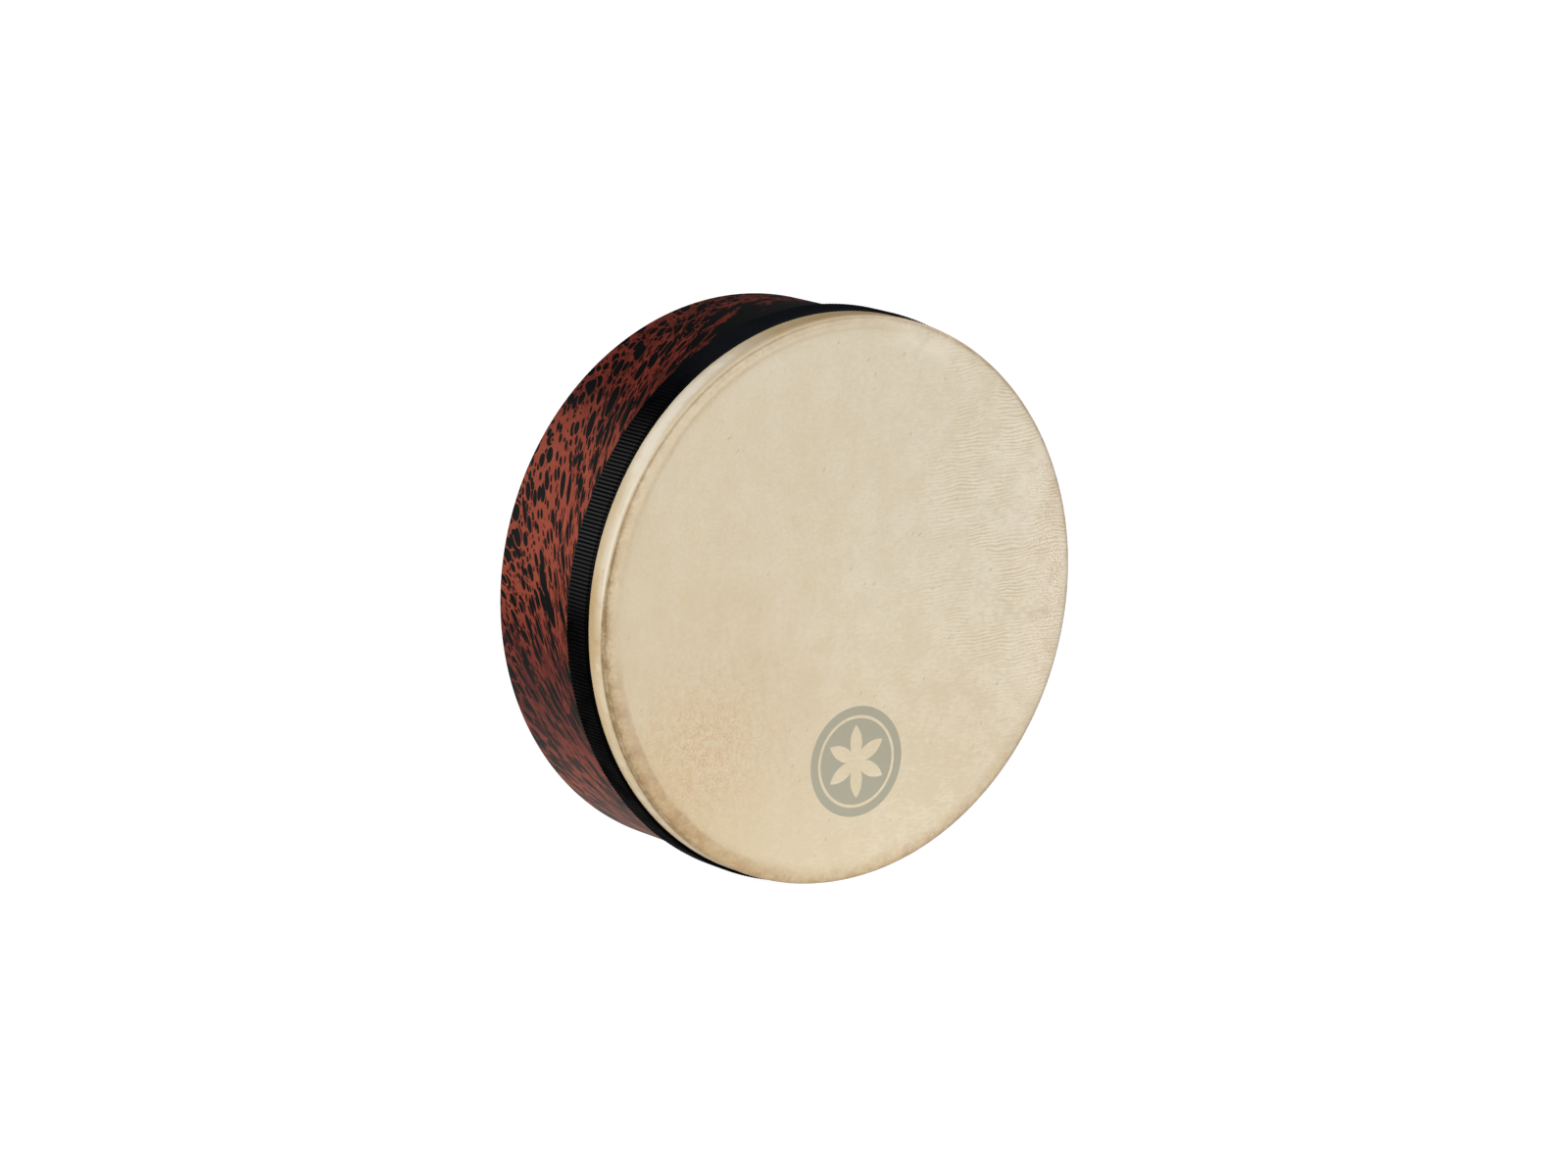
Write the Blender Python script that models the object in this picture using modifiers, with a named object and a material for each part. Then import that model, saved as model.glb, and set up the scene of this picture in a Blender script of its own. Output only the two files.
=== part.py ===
"""Frame drum: a shallow round drum with a bent-wood shell that is open at the back.

The shell is a stack of veneers bent round and glued one inside the other, each closed by a slanted joint.
A goatskin head is stretched over the shell's front edge and glued down its side. A woven ribbon covers the
skin's cut edge, and laps over its own end.

Every piece is modelled upright round the drum's axis, with heights that grow towards the head. The empty
drum_axis then lays the axis along Y, so that the head faces -Y and the drum stands on its side.
"""

import math

import bmesh
import bpy

# Overall size, in metres. Radii are measured from the axis, heights from the middle of the drum's depth.
SHELL_RADIUS = 0.1016
DEPTH = 0.0702
WALL = 0.008
HEAD_TOP = DEPTH / 2
SHELL_REAR = -DEPTH / 2

# The veneers of the shell.
PLY_COUNT = 6
GLUE_LINE = 0.00025
REAR_EDGE_ROUND = 0.0008
SEAM_GAP = 0.0004
SEAM_SLANT = math.radians(60)
FIRST_SEAM = math.radians(305)
SEAM_STEP = math.radians(137)

# The skin, and the glue between it and the shell.
SKIN_THICKNESS = 0.001
SKIN_GAP = 0.0004
SKIN_ROUND = 0.0037
SKIN_RADIUS = SHELL_RADIUS + SKIN_GAP + SKIN_THICKNESS

# The ribbon. Its front edge lies this far behind the face of the head.
RIBBON_SETBACK = 0.0116
RIBBON_WIDTH = 0.0126
RIBBON_THICKNESS = 0.0008
RIBBON_GAP = 0.0003
RIBBON_START = math.radians(330)
RIBBON_LAP = math.radians(7)
RIBBON_RAMP = math.radians(5)
SKIN_HEM = 0.002

# How finely the round shapes are divided.
TURN_STEPS = 72
ARC_STEPS = 4

# Centre of the rounding over the front edge, shared by shell and skin.
ROUND_CENTRE = (SKIN_RADIUS - SKIN_ROUND, HEAD_TOP - SKIN_ROUND)
SHELL_ROUND = SKIN_ROUND - SKIN_THICKNESS - SKIN_GAP
SHELL_TOP = ROUND_CENTRE[1] + SHELL_ROUND


def clear_scene():
    for obj in list(bpy.data.objects):
        bpy.data.objects.remove(obj)


def new_collection(name):
    collection = bpy.data.collections.new(name)
    bpy.context.scene.collection.children.link(collection)
    return collection


def new_material(name, color, roughness):
    material = bpy.data.materials.new(name)
    material.use_nodes = True
    principled = material.node_tree.nodes["Principled BSDF"]
    principled.inputs["Base Color"].default_value = (*color, 1)
    principled.inputs["Roughness"].default_value = roughness
    principled.inputs["Metallic"].default_value = 0
    return material


def add_object(name, mesh, collection, parent=None, material=None):
    obj = bpy.data.objects.new(name, mesh)
    collection.objects.link(obj)
    obj.parent = parent
    if material:
        mesh.materials.append(material)
    return obj


def arc(radius, start, end):
    """Points on a circle round the front edge's centre, from one angle to another, in degrees."""
    angles = [math.radians(start + (end - start) * i / ARC_STEPS) for i in range(ARC_STEPS + 1)]
    centre_r, centre_z = ROUND_CENTRE
    return [(centre_r + radius * math.cos(a), centre_z + radius * math.sin(a)) for a in angles]


def turned(name, profile, closed, collection, parent, material):
    """Turns a profile of (radius, height) points, outer side first and running down, round the axis."""
    bm = bmesh.new()
    points = [bm.verts.new((radius, 0, height)) for radius, height in profile]
    for first, second in zip(points, points[1:]):
        bm.edges.new((first, second))
    if closed:
        bm.edges.new((points[-1], points[0]))
    mesh = bpy.data.meshes.new(name)
    bm.to_mesh(mesh)
    bm.free()
    obj = add_object(name, mesh, collection, parent, material)
    screw = obj.modifiers.new("turn", "SCREW")
    screw.axis = "Z"
    screw.steps = screw.render_steps = TURN_STEPS
    screw.use_merge_vertices = True
    screw.merge_threshold = 0.00001
    screw.use_smooth_shade = True
    return obj


def front_height(radius):
    """Height of the shell's front edge at this radius: flat, then rounded down to its outer side."""
    past = radius - ROUND_CENTRE[0]
    if past <= 0:
        return SHELL_TOP
    return ROUND_CENTRE[1] + math.sqrt(SHELL_ROUND**2 - past**2)


def ply_profile(inner, outer, round_outer, round_inner):
    """Section of one veneer, from the front of its outer side, down and round to the front again."""
    ease = REAR_EDGE_ROUND
    low_outer = [(outer, SHELL_REAR)]
    low_inner = [(inner, SHELL_REAR)]
    if round_outer:
        low_outer = [(outer, SHELL_REAR + ease), (outer - ease * 0.3, SHELL_REAR + ease * 0.3)]
        low_outer += [(outer - ease, SHELL_REAR)]
    if round_inner:
        low_inner = [(inner + ease, SHELL_REAR), (inner + ease * 0.3, SHELL_REAR + ease * 0.3)]
        low_inner += [(inner, SHELL_REAR + ease)]
    across = [inner + (outer - inner) * i / 3 for i in range(4)]
    front = [(radius, front_height(radius)) for radius in across]
    if front_height(outer) == SHELL_TOP:
        front = [front[0], front[-1]]
    return [front[-1]] + low_outer + low_inner + front[:-1]


def seam_cutter(number, radius, angle, collection, parent):
    """A thin slanted plate that parts a veneer's two ends."""
    bpy.ops.mesh.primitive_cube_add(size=1)
    plate = bpy.context.active_object
    plate.name = f"seam_cutter_{number}"
    for linked in list(plate.users_collection):
        linked.objects.unlink(plate)
    collection.objects.link(plate)
    plate.parent = parent
    plate.scale = (WALL, SEAM_GAP, DEPTH * 1.1)
    plate.rotation_euler = (0, 0, angle + SEAM_SLANT)
    plate.location = (radius * math.cos(angle), radius * math.sin(angle), 0)
    plate.hide_render = True
    plate.display_type = "WIRE"
    return plate


def build_shell(parts, cutters, axis):
    """The veneers, numbered from the outside in. Only the outermost shows the lacquered finish."""
    lacquer = new_material("lacquered_veneer", (0.20, 0.045, 0.03), 0.35)
    wood = new_material("bare_veneer", (0.55, 0.36, 0.20), 0.55)
    thickness = (WALL - GLUE_LINE * (PLY_COUNT - 1)) / PLY_COUNT
    for number in range(1, PLY_COUNT + 1):
        outer = SHELL_RADIUS - (number - 1) * (thickness + GLUE_LINE)
        inner = outer - thickness
        outermost, innermost = number == 1, number == PLY_COUNT
        profile = ply_profile(inner, outer, outermost, innermost)
        material = lacquer if outermost else wood
        ply = turned(f"shell_ply_{number}", profile, True, parts, axis, material)
        angle = FIRST_SEAM + (number - 1) * SEAM_STEP
        cutter = seam_cutter(number, (outer + inner) / 2, angle, cutters, axis)
        cut = ply.modifiers.new("seam", "BOOLEAN")
        cut.operation = "DIFFERENCE"
        cut.object = cutter


def build_head(parts, axis):
    """The skin: a flat disc, rounded over the shell's edge, with a collar down the shell's side."""
    hem = HEAD_TOP - RIBBON_SETBACK - RIBBON_WIDTH + SKIN_HEM
    inner_round = SKIN_ROUND - SKIN_THICKNESS
    outside = [(0, HEAD_TOP)] + arc(SKIN_ROUND, 90, 0) + [(SKIN_RADIUS, hem)]
    inside = [(SKIN_RADIUS - SKIN_THICKNESS, hem)] + arc(inner_round, 0, 90)
    inside += [(0, HEAD_TOP - SKIN_THICKNESS)]
    skin = new_material("goatskin", (0.72, 0.62, 0.42), 0.5)
    return turned("drum_head", outside + inside, False, parts, axis, skin)


def ribbon_radius(turned_by):
    """Inner radius of the ribbon after this angle from its start: it climbs onto its own end."""
    base = SKIN_RADIUS + RIBBON_GAP
    climb = RIBBON_THICKNESS + RIBBON_GAP
    left = 2 * math.pi - turned_by
    return base + climb * min(max(1 - (left - RIBBON_RAMP / 5) / RIBBON_RAMP, 0), 1)


def build_ribbon(parts, axis):
    """The woven ribbon, one strip bent round over the skin's cut edge and lapped over its own end."""
    top = HEAD_TOP - RIBBON_SETBACK
    whole = 2 * math.pi + RIBBON_LAP
    step = 2 * math.pi / TURN_STEPS
    turns = [i * step for i in range(TURN_STEPS - 1)]
    turns += [2 * math.pi - RIBBON_RAMP * 1.2, 2 * math.pi - RIBBON_RAMP / 5, 2 * math.pi, whole]
    bm = bmesh.new()
    for turned_by in turns:
        angle = RIBBON_START + turned_by
        radius = ribbon_radius(turned_by)
        bm.verts.new((radius * math.cos(angle), radius * math.sin(angle), top - RIBBON_WIDTH))
    bm.verts.ensure_lookup_table()
    path = [bm.edges.new(pair) for pair in zip(bm.verts[:-1], bm.verts[1:])]
    raised = bmesh.ops.extrude_edge_only(bm, edges=path)["geom"]
    raised = [item for item in raised if isinstance(item, bmesh.types.BMVert)]
    bmesh.ops.translate(bm, verts=raised, vec=(0, 0, RIBBON_WIDTH))
    for face in bm.faces:
        face.normal_update()
        face.smooth = True
        if face.normal.dot(face.calc_center_median()) < 0:
            face.normal_flip()
    mesh = bpy.data.meshes.new("trim_ribbon")
    bm.to_mesh(mesh)
    bm.free()
    weave = new_material("black_ribbon", (0.012, 0.012, 0.014), 0.8)
    ribbon = add_object("trim_ribbon", mesh, parts, axis, weave)
    solid = ribbon.modifiers.new("thickness", "SOLIDIFY")
    solid.thickness = RIBBON_THICKNESS
    solid.offset = 1
    return ribbon


def build_drum():
    clear_scene()
    parts = new_collection("frame_drum")
    cutters = new_collection("frame_drum_cutters")
    axis = bpy.data.objects.new("drum_axis", None)
    axis.rotation_euler = (math.radians(90), 0, 0)
    parts.objects.link(axis)
    build_shell(parts, cutters, axis)
    build_head(parts, axis)
    build_ribbon(parts, axis)


build_drum()
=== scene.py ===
"""Looks of the frame drum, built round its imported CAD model.

The drum's axis is Y and its head faces -Y. Sizes here are in millimetres: a "height" runs along the axis
towards the head, so it is -y, and an angle goes from +X towards +Z, so that 90 degrees is the drum's top.
"""

import math

import bpy
import numpy as np
from mathutils import Matrix, Vector


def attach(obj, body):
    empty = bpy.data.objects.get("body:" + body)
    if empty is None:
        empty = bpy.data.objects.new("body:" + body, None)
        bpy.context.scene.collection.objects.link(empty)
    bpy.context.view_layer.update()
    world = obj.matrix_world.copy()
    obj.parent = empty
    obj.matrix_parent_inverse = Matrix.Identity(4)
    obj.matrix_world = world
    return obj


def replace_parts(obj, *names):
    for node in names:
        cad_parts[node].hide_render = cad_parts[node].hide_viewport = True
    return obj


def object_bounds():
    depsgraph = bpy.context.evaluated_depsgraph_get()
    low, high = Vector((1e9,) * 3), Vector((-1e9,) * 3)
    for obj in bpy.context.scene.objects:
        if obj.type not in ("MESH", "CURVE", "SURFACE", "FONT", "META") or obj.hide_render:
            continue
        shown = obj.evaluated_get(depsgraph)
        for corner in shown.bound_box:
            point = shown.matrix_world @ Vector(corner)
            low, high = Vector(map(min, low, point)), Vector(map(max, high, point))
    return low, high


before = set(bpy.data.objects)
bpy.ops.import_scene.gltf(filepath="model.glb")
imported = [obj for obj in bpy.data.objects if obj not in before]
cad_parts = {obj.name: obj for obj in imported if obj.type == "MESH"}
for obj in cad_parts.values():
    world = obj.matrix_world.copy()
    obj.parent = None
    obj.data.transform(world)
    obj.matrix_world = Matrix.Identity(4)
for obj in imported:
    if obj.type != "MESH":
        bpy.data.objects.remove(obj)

cad_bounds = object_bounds()

MM = 0.001
TURN = 2 * math.pi


# ------------------------------------------------------------------ measures taken from the frame


def span(node):
    """(inner radius, outer radius, lowest height, highest height) of a CAD node, in millimetres."""
    co = np.array([v.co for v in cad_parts[node].data.vertices]) / MM
    radius = np.hypot(co[:, 0], co[:, 2])
    return radius.min(), radius.max(), -co[:, 1].max(), -co[:, 1].min()


PLIES = sorted(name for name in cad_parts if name.startswith("shell_ply"))
SKIN_HEM = span("drum_head")[2]
HEAD_TOP = span("drum_head")[3]
SKIN_RADIUS = span("drum_head")[1]
SHELL_RADIUS = span(PLIES[0])[1]
SHELL_REAR = span(PLIES[0])[2]
BORE_RADIUS = span(PLIES[-1])[0]
RIBBON_RADIUS, _, RIBBON_BACK, RIBBON_FRONT = span("trim_ribbon")

# The skin over the shell's front edge, as the CAD model rounds it.
SKIN_THICKNESS = 1.0
ROUNDING = 3.7
ROUND_RADIUS = SKIN_RADIUS - ROUNDING
ROUND_HEIGHT = HEAD_TOP - ROUNDING


# ------------------------------------------------------------------ shader writing


class Field:
    """One output of a shader node. Arithmetic on fields adds Math nodes to the same tree."""

    def __init__(self, socket):
        self.socket = socket
        self.tree = socket.id_data

    def math(self, operation, *others):
        node = self.tree.nodes.new("ShaderNodeMath")
        node.operation = operation
        for socket, value in zip(node.inputs, (self, *others)):
            feed(socket, value)
        return Field(node.outputs[0])

    def __add__(self, other):
        return self.math("ADD", other)

    def __sub__(self, other):
        return self.math("SUBTRACT", other)

    def __rsub__(self, other):
        return (self * -1).math("ADD", other)

    def __mul__(self, other):
        return self.math("MULTIPLY", other)

    def __truediv__(self, other):
        return self.math("DIVIDE", other)

    __radd__ = __add__


def feed(socket, value):
    """Links a field into a socket, or sets the socket to a plain value."""
    if isinstance(value, Field):
        socket.id_data.links.new(value.socket, socket)
    elif isinstance(value, tuple) and len(value) == 3 and len(socket.default_value) == 4:
        socket.default_value = (*value, 1)
    else:
        socket.default_value = value


def add_node(tree, kind, settings=None, **inputs):
    """A new node with these settings. An input's name is written with _ for its spaces."""
    node = tree.nodes.new(kind)
    for name, value in (settings or {}).items():
        setattr(node, name, value)
    for name, value in inputs.items():
        feed(node.inputs[name.replace("_", " ")], value)
    return node


def step(field, low, high):
    """0 below low, 1 above high, smooth between them. With low above high it falls instead."""
    if low > high:
        return 1 - step(field, high, low)
    settings = {"interpolation_type": "SMOOTHSTEP"}
    node = add_node(field.tree, "ShaderNodeMapRange", settings, Value=field, From_Min=low, From_Max=high)
    return Field(node.outputs["Result"])


def bell(field, middle, width):
    """1 at the middle, falling smoothly to 0 at one width to either side."""
    return step((field - middle).math("ABSOLUTE"), width, 0)


def vector(x, y, z):
    """A point from its three coordinates, of which x is a field."""
    node = x.tree.nodes.new("ShaderNodeCombineXYZ")
    for socket, value in zip(node.inputs, (x, y, z)):
        feed(socket, value)
    return Field(node.outputs[0])


def parts_of(point):
    """The x, y and z of a point."""
    node = add_node(point.tree, "ShaderNodeSeparateXYZ", Vector=point)
    return [Field(output) for output in node.outputs]


def noise(point, size, detail=2, roughness=0.5):
    """Soft noise from 0 to 1 whose features are about this many millimetres across."""
    inputs = {"Scale": 1 / size, "Detail": detail, "Roughness": roughness}
    node = add_node(point.tree, "ShaderNodeTexNoise", Vector=point, **inputs)
    return Field(node.outputs["Fac"])


def shaken(point, size, reach, detail=2):
    """The point moved about by noise, up to about this reach."""
    node = add_node(point.tree, "ShaderNodeTexNoise", Vector=point, Scale=1 / size, Detail=detail)
    moved = add_node(point.tree, "ShaderNodeVectorMath", {"operation": "MULTIPLY_ADD"})
    feed(moved.inputs[0], Field(node.outputs["Color"]))
    moved.inputs[1].default_value = (2 * reach,) * 3
    feed(moved.inputs[2], point)
    return Field(moved.outputs[0])


def cells(point, size, randomness=1.0, dimensions="3D"):
    """(distance from the nearest cell's middle as a share of size, a random number for that cell)."""
    inputs = {"Scale": 1 / size, "Randomness": randomness}
    settings = {"voronoi_dimensions": dimensions}
    node = add_node(point.tree, "ShaderNodeTexVoronoi", settings, Vector=point, **inputs)
    split = add_node(point.tree, "ShaderNodeSeparateColor", Color=Field(node.outputs["Color"]))
    return Field(node.outputs["Distance"]), Field(split.outputs[0])


def mix(factor, first, second):
    """The first colour where the factor is 0, the second where it is 1."""
    node = add_node(factor.tree, "ShaderNodeMix", {"data_type": "RGBA"}, Factor=factor)
    color_inputs = [socket for socket in node.inputs if socket.type == "RGBA"]
    for socket, color in zip(color_inputs, (first, second)):
        feed(socket, color)
    return Field(next(socket for socket in node.outputs if socket.type == "RGBA"))


def bump(height, reach, strength):
    """A normal bent by a height from 0 to 1 that stands for this reach in millimetres."""
    node = add_node(height.tree, "ShaderNodeBump", Height=height, Distance=reach * MM, Strength=strength)
    return Field(node.outputs[0])


def srgb(red, green, blue):
    """A display colour, 0 to 255, as the linear colour that shaders take."""
    def linear(value):
        value /= 255
        return value / 12.92 if value <= 0.04045 else ((value + 0.055) / 1.055) ** 2.4
    return linear(red), linear(green), linear(blue)


class Material:
    """A material with a Principled shader, and the shading point in the drum's own terms."""

    def __init__(self, name):
        self.data = bpy.data.materials.new(name)
        self.data.use_nodes = True
        self.tree = self.data.node_tree
        self.principled = self.tree.nodes["Principled BSDF"]
        place = self.tree.nodes.new("ShaderNodeTexCoord")
        scaled = add_node(self.tree, "ShaderNodeVectorMath", {"operation": "SCALE"}, Scale=1 / MM)
        feed(scaled.inputs[0], Field(place.outputs["Object"]))
        self.point = Field(scaled.outputs[0])
        self.x, y, self.z = parts_of(self.point)
        self.height = y * -1
        self.radius = (self.x * self.x + self.z * self.z).math("SQRT")
        self.angle = self.z.math("ARCTAN2", self.x)

    def finish(self, **inputs):
        """Sets the Principled shader's inputs, and returns Blender's material."""
        for name, value in inputs.items():
            feed(self.principled.inputs[name.replace("_", " ")], value)
        return self.data


# ------------------------------------------------------------------ mesh making


def mesh_object(name, vertices, faces, material):
    """A smooth piece of the drum, its vertices in millimetres. It rides on the drum's one body."""
    mesh = bpy.data.meshes.new(name)
    mesh.from_pydata((np.asarray(vertices) * MM).tolist(), [], faces)
    mesh.validate()
    mesh.shade_smooth()
    mesh.materials.append(material)
    obj = bpy.data.objects.new(name, mesh)
    bpy.context.scene.collection.objects.link(obj)
    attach(obj, "root")
    return obj


def placed(radius, height, angle):
    """Points at these radii, heights and angles, as an array of x, y, z."""
    radius, height, angle = np.broadcast_arrays(radius, height, angle)
    return np.stack([radius * np.cos(angle), -height, radius * np.sin(angle)], -1)


def arc(centre, radius, start, end, count):
    """Points (radius, height) along a circle's arc, its angles in degrees."""
    angles = np.radians(np.linspace(start, end, count))
    return np.stack([centre[0] + radius * np.cos(angles), centre[1] + radius * np.sin(angles)], -1)


def ripple(angle, waves, seed):
    """A smooth random-looking curve round the drum, from -1 to 1, with up to this many waves a turn."""
    phases = np.random.default_rng(seed).uniform(0, TURN, waves)
    total = sum(np.sin(n * angle + phases[n - 1]) / math.sqrt(n) for n in range(1, waves + 1))
    return total / (0.8 * math.sqrt(waves))


def side(angle, middle, half_width):
    """1 at this angle in degrees, falling smoothly to 0 at the half width to either side."""
    edge = math.cos(math.radians(half_width))
    share = np.clip((np.cos(angle - math.radians(middle)) - edge) / (1 - edge), 0, 1)
    return share * share * (3 - 2 * share)


def outward(obj):
    """Turns the faces of a closed mesh to point out."""
    corners = np.array([v.co for v in obj.data.vertices])
    obj.data.calc_loop_triangles()
    triangles = corners[np.array([t.vertices for t in obj.data.loop_triangles])]
    if np.linalg.det(triangles).sum() < 0:
        obj.data.flip_normals()
    return obj


def swept(name, loops, closed, material):
    """A solid from cross-section loops, each an array of points, joined in turn. An open one is capped."""
    count, size = len(loops), len(loops[0])
    faces = []
    for i in range(count if closed else count - 1):
        here, there = i * size, (i + 1) % count * size
        for j in range(size):
            k = (j + 1) % size
            faces.append((here + j, here + k, there + k, there + j))
    if not closed:
        faces.append(tuple(range(size)))
        faces.append(tuple(reversed(range((count - 1) * size, count * size))))
    return outward(mesh_object(name, np.concatenate(loops), faces, material))


# ------------------------------------------------------------------ the shell

PLY_COLUMNS = 360
PLY_SHARP_ANGLE = math.radians(40)
SEAM_GAP = 0.35
SEAM_LEAN = 1.6
FIRST_SEAM, SEAM_STEP = 305, 137
SEAM_ANGLES = [math.radians(FIRST_SEAM + SEAM_STEP * number) for number in range(len(PLIES))]
SEAM_COLUMN = 0.05

# How far a veneer's outer and inner rear corners are rounded: more at the two faces of the wall.
SLIGHT_ROUND = (0.2, 0.2)
REAR_ROUND = {0: (1.0, 0.2), len(PLIES) - 1: (0.2, 0.9)}
ROUND_POINTS = 6
ROUND_MARGIN = 0.8


def ply_loop(inner, outer, rear, front, outer_round, inner_round):
    """Section of one veneer, its rear corners rounded, as (radius, height) points. Two more points just
    past the rounding keep the smooth shading of the straight walls clear of it."""
    low_outer = arc((outer - outer_round, rear + outer_round), outer_round, 0, -90, ROUND_POINTS)
    low_inner = arc((inner + inner_round, rear + inner_round), inner_round, -90, -180, ROUND_POINTS)
    outer_hold = (outer, rear + outer_round + ROUND_MARGIN)
    inner_hold = (inner, rear + inner_round + ROUND_MARGIN)
    return np.array([(outer, front), outer_hold, *low_outer, *low_inner, inner_hold, (inner, front)])


def build_ply(number, material):
    """A veneer bent round. Its two ends meet in a slanted joint, which the lacquer fills on the outermost."""
    inner, outer, rear, front = span(PLIES[number])
    section = ply_loop(inner, outer, rear, front, *REAR_ROUND.get(number, SLIGHT_ROUND))
    lean = (section[:, 0] - (inner + outer) / 2) * SEAM_LEAN / outer
    half_gap = SEAM_GAP / outer / 2
    start, end = SEAM_ANGLES[number] + half_gap, SEAM_ANGLES[number] + TURN - half_gap
    filled = number == 0
    if filled:
        angles = np.linspace(0, TURN, PLY_COLUMNS, endpoint=False)
        loops = [placed(section[:, 0], section[:, 1], angle) for angle in angles]
    else:
        angles = np.linspace(start + SEAM_COLUMN, end - SEAM_COLUMN, PLY_COLUMNS)
        loops = [placed(section[:, 0], section[:, 1], angle) for angle in angles]
        loops.insert(0, placed(section[:, 0], section[:, 1], start + lean))
        loops.append(placed(section[:, 0], section[:, 1], end + lean))
    obj = swept(f"veneer_{number + 1}", loops, filled, material)
    obj.data.set_sharp_from_angle(angle=PLY_SHARP_ANGLE)
    "lacquered_veneer" if number == 0 else "bare_veneer"
    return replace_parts(obj, PLIES[number])


# ------------------------------------------------------------------ the head

RIM_COLUMNS = 512
FACE_ROW, COLLAR_ROW = 0.4, 0.45
SHOULDER_ROWS, LINING_ROUND_ROWS = 32, 8

# The crease runs this far along the shoulder, and climbs further over it round the top.
CREASE_LOW, CREASE_RISE = 1.1, 1.6
CREASE_SIDE = (70, 95)
CREASE_DEPTH, CREASE_WIDTH = 0.40, 0.68
FLAT_EDGE_AT = 6.4


def crease_strength(angle):
    """How deep the crease over the shoulder is, round the drum: most on the left, and shallow elsewhere."""
    left = np.maximum(side(angle, 192, 70), 0.8 * side(angle, 140, 60))
    far = 0.35 * side(angle, 60, 60) + 0.25 * side(angle, 300, 50)
    return np.maximum(left, far) * (0.85 + 0.15 * ripple(angle, 14, 3))


def crease_place(angle):
    """How far along the shoulder the crease runs."""
    return CREASE_LOW + CREASE_RISE * side(angle, *CREASE_SIDE) + 0.15 * ripple(angle, 9, 5)


def hump(value, middle, width):
    """1 at the middle, falling like a bell to either side."""
    return np.exp(-(((value - middle) / width) ** 2))


def crease_relief(along, angle):
    """The crease, two fine folds outside it over the top, and the worn edge of the flat face."""
    place = crease_place(angle)
    total = -CREASE_DEPTH * crease_strength(angle) * hump(along, place, CREASE_WIDTH)
    folds = side(angle, 112, 40) * (0.7 + 0.3 * ripple(angle, 11, 6))
    total -= 0.10 * folds * hump(along, place - 1.3 + 0.3 * ripple(angle, 6, 7), 0.32)
    total -= 0.08 * folds * hump(along, place - 2.9 + 0.4 * ripple(angle, 6, 8), 0.4)
    flat_edge = hump(along, FLAT_EDGE_AT + 0.4 * ripple(angle, 15, 9), 1.3)
    return total - 0.012 * side(angle, 140, 36) * flat_edge


def collar_relief(along, angle):
    """The collar's uneven glued surface."""
    on_collar = 1 / (1 + np.exp((along - 1) * 1.5))
    return on_collar * (0.08 * ripple(angle, 18, 11) + 0.015 * ripple(angle, 90, 12) - 0.05)


def face_relief(along, angle):
    """Puckers inside the crease on the left, and a slow unevenness round the face's edge."""
    puckered = side(angle, 195, 60) * hump(along, 3.2, 2.2)
    puckers = 0.035 * puckered * ripple(angle + 0.012 * along, 150, 14)
    return puckers + 0.04 * ripple(angle, 9, 13) * hump(along, 10, 9)


def relief(along, angle):
    """How far the skin stands out of its plain rounded shape. along runs over the shoulder towards the
    middle of the head: negative on the collar, 0 where the shoulder starts."""
    return crease_relief(along, angle) + collar_relief(along, angle) + face_relief(along, angle)


def skin_rows():
    """Rows over the outside from the middle out, each a radius and height, which way is outward there,
    how far along the shoulder it is, and its number of columns."""
    shoulder = ROUNDING * math.pi / 2
    # Wide apart in the middle, and closer towards the rim, where the relief is.
    face_radii = [
        *np.arange(3, 12, 3), *np.arange(12, 48, 4), *np.arange(48, 90, 5), 92, 93.5, 94.7,
        *np.arange(95.5, ROUND_RADIUS, FACE_ROW),
    ]
    rows = []
    for radius in face_radii:
        share = radius / ROUND_RADIUS
        thinned = next(d for d in (32, 16, 8, 4, 2, 1) if d == 1 or share < 1 / d)
        along = shoulder + ROUND_RADIUS - radius
        rows.append((radius, HEAD_TOP, 0, 1, along, RIM_COLUMNS // thinned))
    for turned in np.linspace(math.pi / 2, 0, SHOULDER_ROWS):
        out, up = math.cos(turned), math.sin(turned)
        place = (ROUND_RADIUS + ROUNDING * out, ROUND_HEIGHT + ROUNDING * up)
        rows.append((*place, out, up, ROUNDING * turned, RIM_COLUMNS))
    ribbon_down = ROUND_HEIGHT - RIBBON_FRONT
    visible = np.arange(0.35, ribbon_down + 1, COLLAR_ROW)
    hidden = np.linspace(ribbon_down + 1.6, ROUND_HEIGHT - SKIN_HEM, 6)
    for down in (*visible, *hidden):
        rows.append((SKIN_RADIUS, ROUND_HEIGHT - down, 1, 0, -down, RIM_COLUMNS))
    return rows


def lining_rows():
    """Rows over the inside, from the hem back to the middle."""
    inner, round_inner = SKIN_RADIUS - SKIN_THICKNESS, ROUNDING - SKIN_THICKNESS
    rows = [(inner, SKIN_HEM, RIM_COLUMNS), (inner, ROUND_HEIGHT - 4, RIM_COLUMNS)]
    for turned in np.linspace(0, math.pi / 2, LINING_ROUND_ROWS):
        place = (ROUND_RADIUS + round_inner * math.cos(turned), ROUND_HEIGHT + round_inner * math.sin(turned))
        rows.append((*place, RIM_COLUMNS))
    for radius, thinned in ((90, 1), (60, 2), (40, 4), (22, 8), (12, 16), (5, 32)):
        rows.append((radius, HEAD_TOP - SKIN_THICKNESS, RIM_COLUMNS // thinned))
    return rows


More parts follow.
